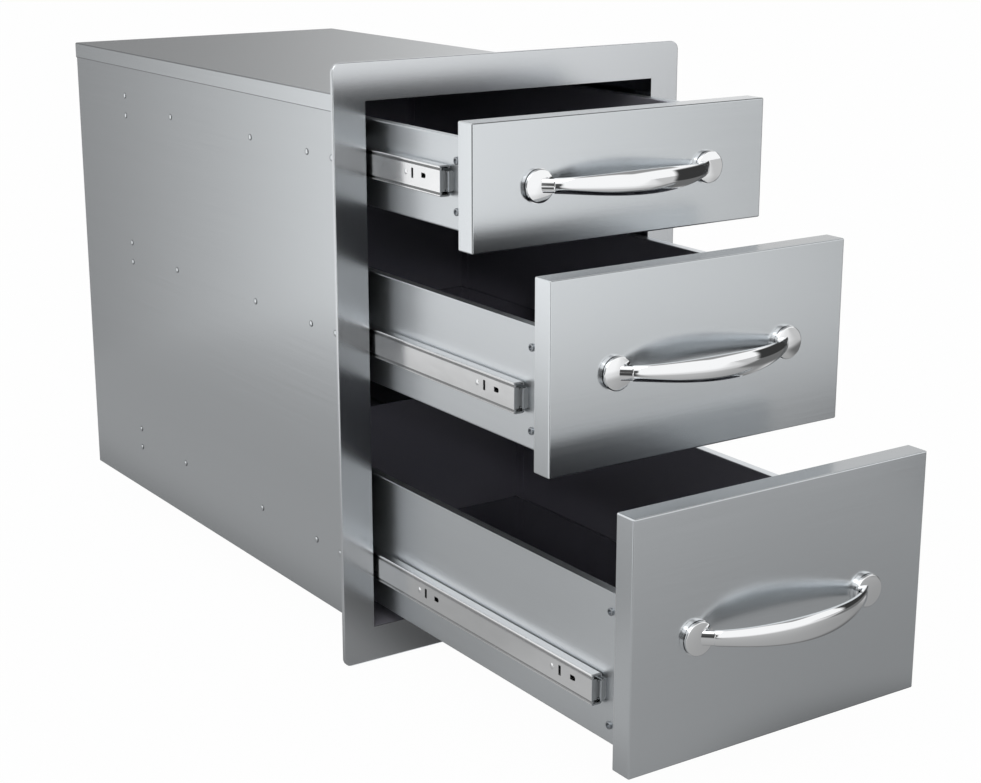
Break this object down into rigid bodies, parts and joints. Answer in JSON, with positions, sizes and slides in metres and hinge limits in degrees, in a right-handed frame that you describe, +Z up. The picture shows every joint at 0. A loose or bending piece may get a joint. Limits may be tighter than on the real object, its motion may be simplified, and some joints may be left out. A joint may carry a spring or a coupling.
{
  "type": "outdoor kitchen drawer unit",
  "caption": "Built-in stainless drawer unit for an outdoor kitchen: casing behind a flat face frame, with drawers of rising height on ball-bearing slides and bow handles.",
  "frame": {"origin": "on the centre line, in the plane where the frame's edge meets the counter, and on the underside of the casing", "axes": "+X to the right seen from the front, +Y from the front into the counter, +Z up"},
  "size_m": [0.356, 0.9811, 0.5208],
  "materials": {
    "satin_steel": "satin stainless, fine vertical brushing",
    "casing_steel": "satin stainless sheet",
    "drawer_steel": "satin stainless outside, dark and glossy inside",
    "zinc_plated_steel": "bright zinc plate",
    "bearing_steel": "polished",
    "mill_aluminium": "mill",
    "fastener_steel": "plain stainless",
    "polished_chrome": "mirror polished"
  },
  "bodies": {
    "casing": {"bottom_slide_cabinet_left": "zinc_plated_steel", "bottom_slide_cabinet_right": "zinc_plated_steel", "casing_back": "casing_steel", "casing_bottom": "casing_steel", "casing_left": "casing_steel", "casing_lid": "casing_steel", "casing_right": "casing_steel", "casing_rivets": "fastener_steel", "face_frame": "satin_steel", "middle_slide_cabinet_left": "zinc_plated_steel", "middle_slide_cabinet_right": "zinc_plated_steel", "slide_packers": "mill_aluminium", "top_slide_cabinet_left": "zinc_plated_steel", "top_slide_cabinet_right": "zinc_plated_steel"},
    "bottom_stage": {"bottom_slide_middle_left": "zinc_plated_steel", "bottom_slide_middle_right": "zinc_plated_steel"},
    "bottom_drawer": {"bottom_box_back": "drawer_steel", "bottom_box_floor": "drawer_steel", "bottom_box_left": "drawer_steel", "bottom_box_right": "drawer_steel", "bottom_front_backer": "drawer_steel", "bottom_front_skin": "satin_steel", "bottom_handle_bar": "polished_chrome", "bottom_handle_rosettes": "polished_chrome", "bottom_screws": "fastener_steel", "bottom_slide_drawer_left": "zinc_plated_steel", "bottom_slide_drawer_right": "zinc_plated_steel"},
    "bottom_outer_balls": {"bottom_balls_outer": "bearing_steel"},
    "bottom_inner_balls": {"bottom_balls_inner": "bearing_steel"},
    "middle_stage": {"middle_slide_middle_left": "zinc_plated_steel", "middle_slide_middle_right": "zinc_plated_steel"},
    "middle_drawer": {"middle_box_back": "drawer_steel", "middle_box_floor": "drawer_steel", "middle_box_left": "drawer_steel", "middle_box_right": "drawer_steel", "middle_front_backer": "drawer_steel", "middle_front_skin": "satin_steel", "middle_handle_bar": "polished_chrome", "middle_handle_rosettes": "polished_chrome", "middle_screws": "fastener_steel", "middle_slide_drawer_left": "zinc_plated_steel", "middle_slide_drawer_right": "zinc_plated_steel"},
    "middle_outer_balls": {"middle_balls_outer": "bearing_steel"},
    "middle_inner_balls": {"middle_balls_inner": "bearing_steel"},
    "top_stage": {"top_slide_middle_left": "zinc_plated_steel", "top_slide_middle_right": "zinc_plated_steel"},
    "top_drawer": {"top_box_back": "drawer_steel", "top_box_floor": "drawer_steel", "top_box_left": "drawer_steel", "top_box_right": "drawer_steel", "top_front_backer": "drawer_steel", "top_front_skin": "satin_steel", "top_handle_bar": "polished_chrome", "top_handle_rosettes": "polished_chrome", "top_screws": "fastener_steel", "top_slide_drawer_left": "zinc_plated_steel", "top_slide_drawer_right": "zinc_plated_steel"},
    "top_outer_balls": {"top_balls_outer": "bearing_steel"},
    "top_inner_balls": {"top_balls_inner": "bearing_steel"}
  },
  "joints": [
    {"name": "bottom_stage_slide", "type": "slide", "parent": "casing", "child": "bottom_stage", "axis": [0, -1, 0], "range_m": [-0.3556, 0.0044]},
    {"name": "bottom_drawer_slide", "type": "slide", "parent": "bottom_stage", "child": "bottom_drawer", "axis": [0, -1, 0], "range_m": [0, 0.15]},
    {"name": "bottom_outer_balls_roll", "type": "slide", "parent": "casing", "child": "bottom_outer_balls", "axis": [0, -1, 0], "range_m": [-0.1778, 0.0022]},
    {"name": "bottom_inner_balls_roll", "type": "slide", "parent": "bottom_stage", "child": "bottom_inner_balls", "axis": [0, -1, 0], "range_m": [0, 0.075]},
    {"name": "middle_stage_slide", "type": "slide", "parent": "casing", "child": "middle_stage", "axis": [0, -1, 0], "range_m": [-0.254, 0.106]},
    {"name": "middle_drawer_slide", "type": "slide", "parent": "middle_stage", "child": "middle_drawer", "axis": [0, -1, 0], "range_m": [0, 0.15]},
    {"name": "middle_outer_balls_roll", "type": "slide", "parent": "casing", "child": "middle_outer_balls", "axis": [0, -1, 0], "range_m": [-0.127, 0.053]},
    {"name": "middle_inner_balls_roll", "type": "slide", "parent": "middle_stage", "child": "middle_inner_balls", "axis": [0, -1, 0], "range_m": [0, 0.075]},
    {"name": "top_stage_slide", "type": "slide", "parent": "casing", "child": "top_stage", "axis": [0, -1, 0], "range_m": [-0.1524, 0.2076]},
    {"name": "top_drawer_slide", "type": "slide", "parent": "top_stage", "child": "top_drawer", "axis": [0, -1, 0], "range_m": [0, 0.15]},
    {"name": "top_outer_balls_roll", "type": "slide", "parent": "casing", "child": "top_outer_balls", "axis": [0, -1, 0], "range_m": [-0.0762, 0.1038]},
    {"name": "top_inner_balls_roll", "type": "slide", "parent": "top_stage", "child": "top_inner_balls", "axis": [0, -1, 0], "range_m": [0, 0.075]}
  ],
  "couplings": [
    {"joint": "bottom_outer_balls_roll", "follows": "bottom_stage_slide", "ratio": 0.5},
    {"joint": "bottom_inner_balls_roll", "follows": "bottom_drawer_slide", "ratio": 0.5},
    {"joint": "middle_outer_balls_roll", "follows": "middle_stage_slide", "ratio": 0.5},
    {"joint": "middle_inner_balls_roll", "follows": "middle_drawer_slide", "ratio": 0.5},
    {"joint": "top_outer_balls_roll", "follows": "top_stage_slide", "ratio": 0.5},
    {"joint": "top_inner_balls_roll", "follows": "top_drawer_slide", "ratio": 0.5}
  ]
}
